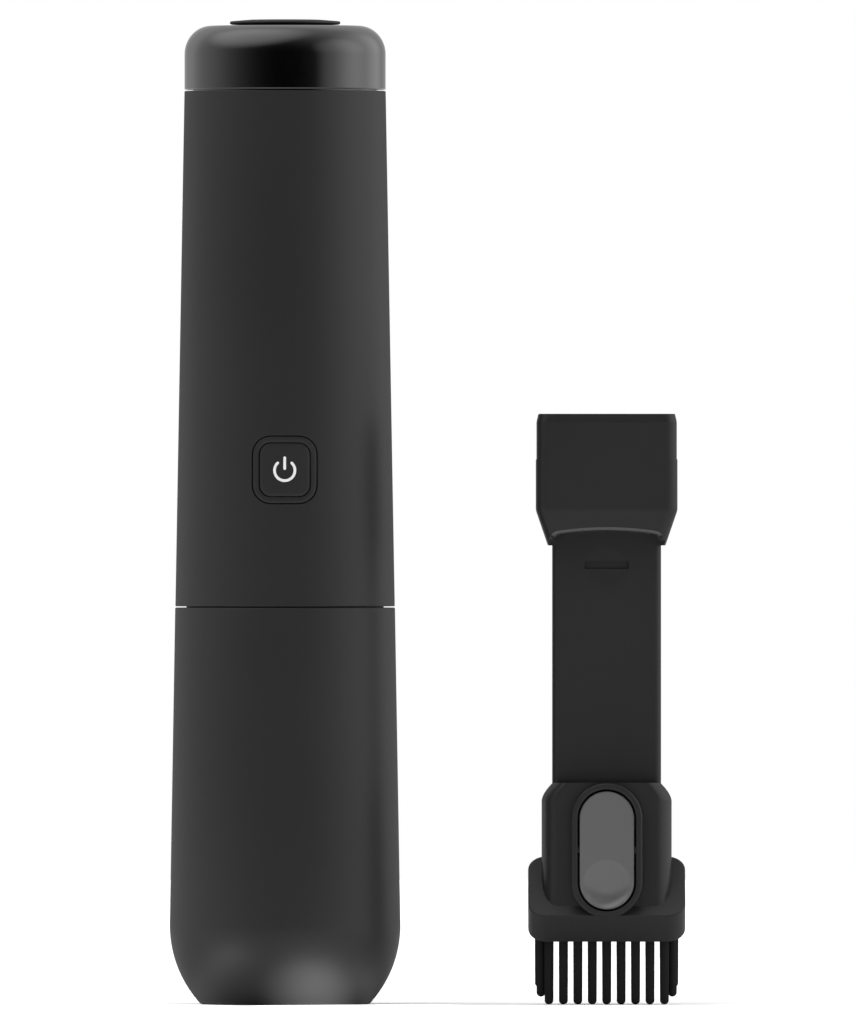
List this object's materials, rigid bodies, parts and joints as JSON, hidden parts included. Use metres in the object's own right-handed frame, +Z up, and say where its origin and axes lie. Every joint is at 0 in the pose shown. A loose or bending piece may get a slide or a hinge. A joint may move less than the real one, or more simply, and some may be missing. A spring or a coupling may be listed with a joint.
{
  "type": "handheld vacuum cleaner",
  "caption": "Bottle-shaped cordless handheld vacuum cleaner standing on its suction mouth, beside its crevice tool with a latched sliding brush.",
  "frame": {"origin": "on the floor, midway between the two ends of the set's bounding box", "axes": "+Z up, -Y to the front with the power button, +X from the cleaner to the crevice tool"},
  "size_m": [0.152, 0.068, 0.2903],
  "materials": {
    "satin_plastic": "fine satin moulding",
    "gloss_black_plastic": "polished",
    "tool_plastic": "satin",
    "grey_plastic": "half gloss",
    "fan_plastic": "as moulded",
    "inner_plastic": "as moulded",
    "bristle_elastomer": "smooth",
    "rubber": "matt",
    "filter_paper": "pleated paper",
    "foam": "open cell foam",
    "steel": "plain",
    "copper": "wound copper",
    "magnet": "ferrite",
    "circuit_board": "solder mask",
    "cell_sleeve": "shrink sleeve"
  },
  "bodies": {
    "cup": {"dust_cup": "satin_plastic", "flap_pin": "steel"},
    "flap": {"flap_valve": "rubber"},
    "motor_unit": {"upper_housing": "satin_plastic", "motor_base": "inner_plastic", "cup_seal": "rubber", "base_screw_1": "steel", "base_screw_2": "steel", "base_screw_3": "steel", "fan_shroud": "inner_plastic", "motor_mount": "rubber", "motor_can": "steel", "motor_bearing_lower": "steel", "motor_bearing_upper": "steel", "magnet_front": "magnet", "magnet_back": "magnet", "motor_bracket": "inner_plastic", "pack_holder_lower": "inner_plastic", "pack_holder_upper": "inner_plastic", "battery_cell_1": "cell_sleeve", "battery_cell_2": "cell_sleeve", "battery_cell_3": "cell_sleeve", "cell_link": "steel", "charge_board": "circuit_board", "charge_port": "steel", "exhaust_foam": "foam", "button_bezel": "satin_plastic", "tactile_switch": "inner_plastic", "switch_board": "circuit_board", "board_screw_1": "steel", "board_screw_2": "steel", "top_cap": "gloss_black_plastic", "top_disc": "inner_plastic"},
    "rotor": {"fan_impeller": "fan_plastic", "motor_core": "copper", "motor_commutator": "copper", "motor_shaft": "steel"},
    "button": {"power_button": "satin_plastic", "switch_plunger": "fan_plastic"},
    "filter": {"filter_frame": "inner_plastic", "filter_pleats": "filter_paper"},
    "tool": {"tool_connector": "tool_plastic", "crevice_tube": "tool_plastic"},
    "brush": {"brush_body": "tool_plastic", "bristles_front": "bristle_elastomer", "bristles_back": "bristle_elastomer", "bristles_left": "bristle_elastomer", "bristles_right": "bristle_elastomer", "latch_spring": "steel"},
    "latch": {"latch_button": "grey_plastic", "latch_tooth": "steel"}
  },
  "joints": [
    {"name": "flap_hinge", "type": "hinge", "parent": "cup", "child": "flap", "pos_m": [-0.04197, 0.0167, 0.02595], "axis": [-1, 0, 0], "range_deg": [0, 55]},
    {"name": "motor_unit_lift", "type": "slide", "parent": "cup", "child": "motor_unit", "axis": [0, 0, 1], "range_m": [0, 0.07]},
    {"name": "rotor_spin", "type": "hinge", "parent": "motor_unit", "child": "rotor", "pos_m": [-0.04197, 0, 0.14], "axis": [0, 0, 1], "continuous": true},
    {"name": "power_button_press", "type": "slide", "parent": "motor_unit", "child": "button", "axis": [0, 1, 0], "range_m": [0, 0.0008], "stiffness_N_per_m": 800, "springref_m": -0.0004},
    {"name": "filter_pull", "type": "slide", "parent": "motor_unit", "child": "filter", "axis": [0, 0, -1], "range_m": [0, 0.01]},
    {"name": "tool_pick_up", "type": "slide", "parent": "cup", "child": "tool", "axis": [0, 0, 1], "range_m": [0, 0.12]},
    {"name": "brush_slide", "type": "slide", "parent": "tool", "child": "brush", "axis": [0, 0, 1], "range_m": [0, 0.069], "deforming": ["latch_tooth"]},
    {"name": "latch_rock", "type": "hinge", "parent": "brush", "child": "latch", "pos_m": [0.05282, -0.0123, 0.0455], "axis": [1, 0, 0], "range_deg": [0, 6], "stiffness_Nm_per_rad": 0.5, "springref_deg": -2.86, "deforming": ["latch_spring"]}
  ]
}
